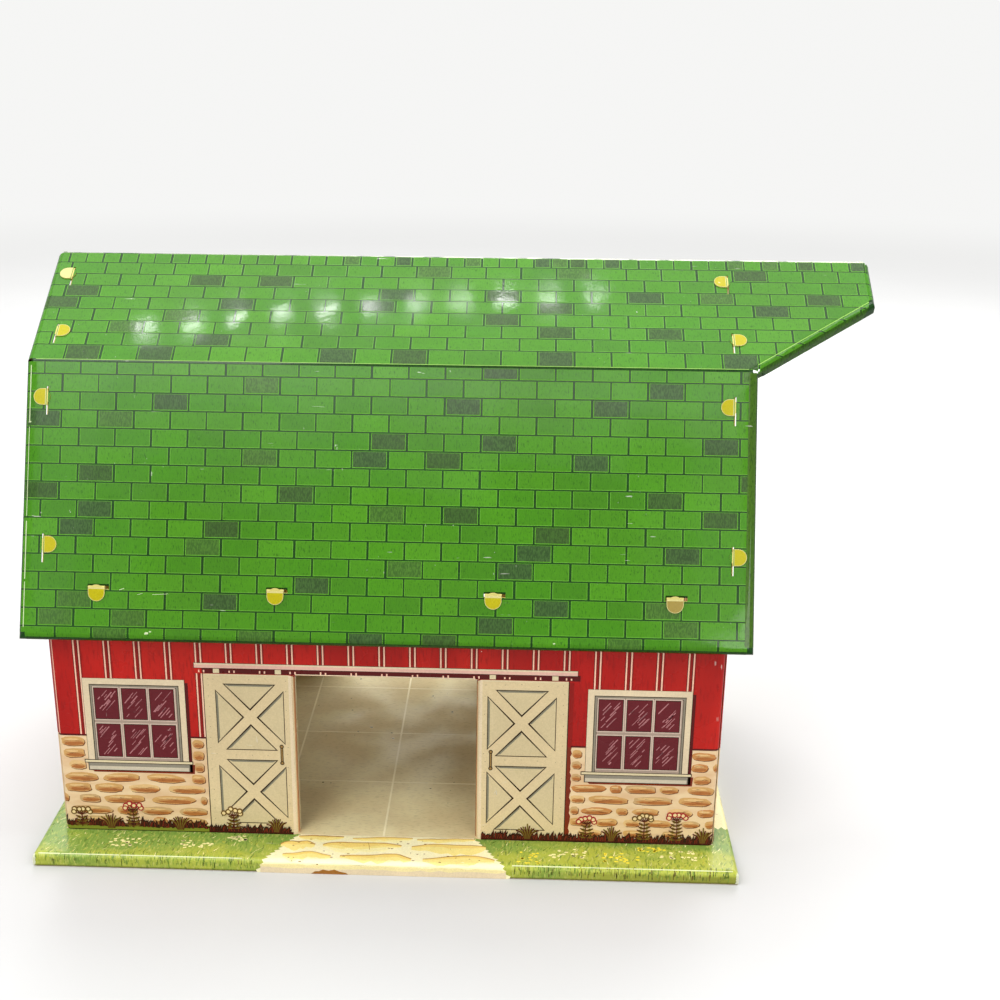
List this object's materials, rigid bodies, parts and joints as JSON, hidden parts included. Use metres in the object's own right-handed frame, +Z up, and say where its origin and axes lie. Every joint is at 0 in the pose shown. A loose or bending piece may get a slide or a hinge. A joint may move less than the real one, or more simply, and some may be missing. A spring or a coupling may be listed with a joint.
{
  "type": "toy barn",
  "caption": "Folded tinplate toy barn with a shingled gambrel roof, a hay hood, open doorways and a grass base, held together by bent tabs.",
  "frame": {"origin": "under the middle of the whole outline seen from above, on the surface that the base stands on", "axes": "+X along the ridge towards the hay hood, +Y from the front wall to the back wall, +Z up"},
  "size_m": [0.36, 0.2406, 0.2451],
  "materials": {
    "base_print": "gloss print on tinplate, grass green with a cream path",
    "wall_print": "gloss print on tinplate, red boards over stone; yellow inside",
    "roof_print": "gloss print on tinplate, green shingles"
  },
  "bodies": {
    "root": {"base_plate": "base_print", "front_wall": "wall_print", "back_wall": "wall_print", "left_end_wall": "wall_print", "right_end_wall": "wall_print", "roof": "roof_print"}
  },
  "joints": []
}
